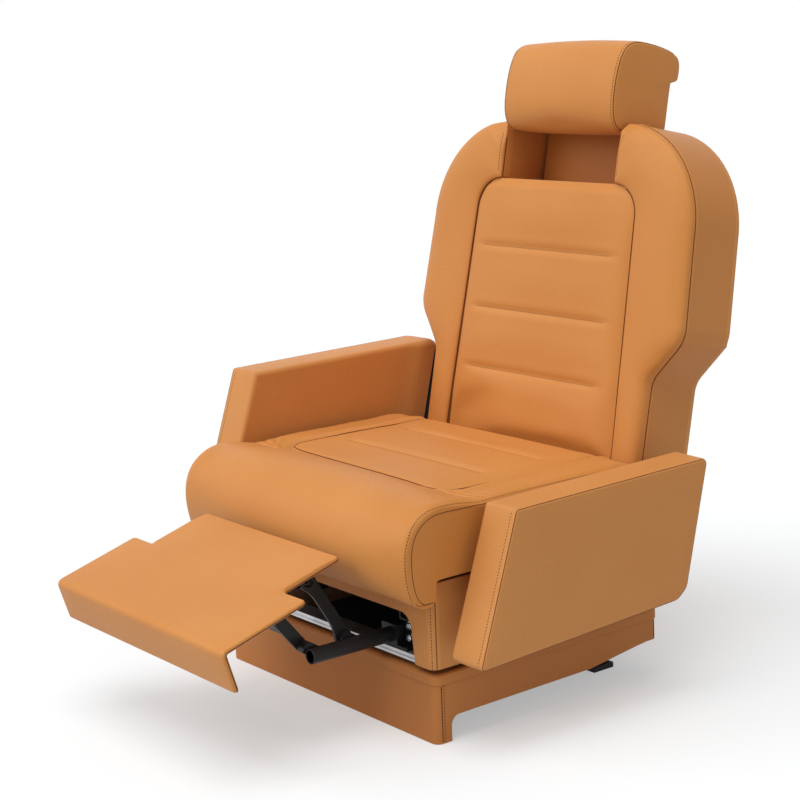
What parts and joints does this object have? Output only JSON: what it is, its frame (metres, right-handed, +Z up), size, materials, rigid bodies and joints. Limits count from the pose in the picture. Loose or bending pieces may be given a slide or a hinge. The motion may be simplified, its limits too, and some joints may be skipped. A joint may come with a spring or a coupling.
{
  "type": "swivel recliner seat",
  "caption": "Leather-covered recliner on a swivel plinth, with reclining back, sliding headrest, height-sliding arms and a fold-out leg rest.",
  "frame": {"origin": "on the floor under the middle of the plinth, on the swivel axis", "axes": "+Z up along the swivel axis, the seat faces -Y, +X to the viewer's right seen from the front"},
  "size_m": [0.72, 0.941, 0.9443],
  "materials": {
    "leather": "semi-matte",
    "black_steel": "satin",
    "grey_steel": "brushed",
    "alloy": "brushed",
    "zinc": "bright",
    "end_cap": "matte"
  },
  "bodies": {
    "base": {"floor_rails": "black_steel", "floor_cross": "black_steel", "bearing_ring": "grey_steel", "plinth_front": "leather", "plinth_side_left": "leather", "plinth_side_right": "leather", "plinth_rear": "leather", "plinth_plate": "leather"},
    "turntable": {"turntable_disc": "grey_steel", "swivel_retainer": "zinc"},
    "carriage": {"carriage_plate": "black_steel", "cross_shoes": "black_steel"},
    "seat": {"cross_rail_front": "alloy", "cross_rail_rear": "alloy", "rail_brackets": "black_steel", "subframe_left": "black_steel", "subframe_right": "black_steel", "seat_crosstubes": "black_steel", "side_plate_left": "black_steel", "side_plate_right": "black_steel", "seat_pan": "grey_steel", "box_front": "leather", "box_left": "leather", "box_right": "leather", "box_rear": "leather", "seat_cushion": "leather", "tube_guides": "black_steel", "arm_slide_left": "black_steel", "arm_slide_right": "black_steel"},
    "back": {"back_upright_left": "black_steel", "back_upright_right": "black_steel", "back_cross_tubes": "black_steel", "back_mat": "grey_steel", "recline_pins": "zinc", "back_rear_panel": "leather", "back_casing_left": "leather", "back_casing_right": "leather", "back_bolster_left": "leather", "back_bolster_right": "leather", "back_insert": "leather", "mast_guides": "black_steel"},
    "headrest": {"headrest_mast": "leather", "headrest_cushion": "leather", "headrest_cover": "leather"},
    "arm_left": {"arm_panel_left": "leather", "arm_carriage_left": "black_steel"},
    "arm_right": {"arm_panel_right": "leather", "arm_carriage_right": "black_steel"},
    "legrest_tubes": {"legrest_tube_left": "black_steel", "legrest_tube_right": "black_steel", "tube_end_caps": "end_cap", "tube_lugs": "black_steel", "lower_link_pins": "zinc", "tube_tie": "black_steel"},
    "front_links": {"front_links": "black_steel", "front_link_tie": "black_steel"},
    "rear_links": {"rear_links": "black_steel"},
    "legrest": {"legrest_panel": "leather", "panel_brackets": "black_steel"}
  },
  "joints": [
    {"name": "swivel", "type": "hinge", "parent": "base", "child": "turntable", "pos_m": [0, 0, 0], "axis": [0, 0, 1], "continuous": true},
    {"name": "fore_aft", "type": "slide", "parent": "turntable", "child": "carriage", "axis": [0, 1, 0], "range_m": [-0.05, 0.05]},
    {"name": "cross_slide", "type": "slide", "parent": "carriage", "child": "seat", "axis": [1, 0, 0], "range_m": [-0.05, 0.05]},
    {"name": "recline", "type": "hinge", "parent": "seat", "child": "back", "pos_m": [0, 0.23579, 0.28911], "axis": [-1, 0, 0], "range_deg": [0, 40]},
    {"name": "headrest_slide", "type": "slide", "parent": "back", "child": "headrest", "axis": [0, 0.1942, 0.981], "range_m": [-0.074, 0]},
    {"name": "arm_left_slide", "type": "slide", "parent": "seat", "child": "arm_left", "axis": [0, 0.319, 0.9478], "range_m": [-0.104, 0]},
    {"name": "arm_right_slide", "type": "slide", "parent": "seat", "child": "arm_right", "axis": [0, 0.319, 0.9478], "range_m": [0, 0.104]},
    {"name": "legrest_slide", "type": "slide", "parent": "seat", "child": "legrest_tubes", "axis": [0, 1, 0], "range_m": [-0.1617, 0]},
    {"name": "legrest_fold", "type": "hinge", "parent": "legrest_tubes", "child": "front_links", "pos_m": [0, -0.344, 0.144], "axis": [-1, 0, 0], "range_deg": [0, 114]},
    {"name": "rear_link_fold", "type": "hinge", "parent": "legrest_tubes", "child": "rear_links", "pos_m": [0, -0.28, 0.144], "axis": [-1, 0, 0], "range_deg": [0, 107.7]},
    {"name": "legrest_tilt", "type": "hinge", "parent": "front_links", "child": "legrest", "pos_m": [0, -0.405, 0.219], "axis": [-1, 0, 0], "range_deg": [-101.4, 0]}
  ],
  "couplings": [
    {"joint": "legrest_slide", "follows": "legrest_fold", "m_per_rad": -0.081},
    {"joint": "rear_link_fold", "follows": "legrest_fold", "ratio": 0.94},
    {"joint": "legrest_tilt", "follows": "legrest_fold", "ratio": -0.885}
  ]
}
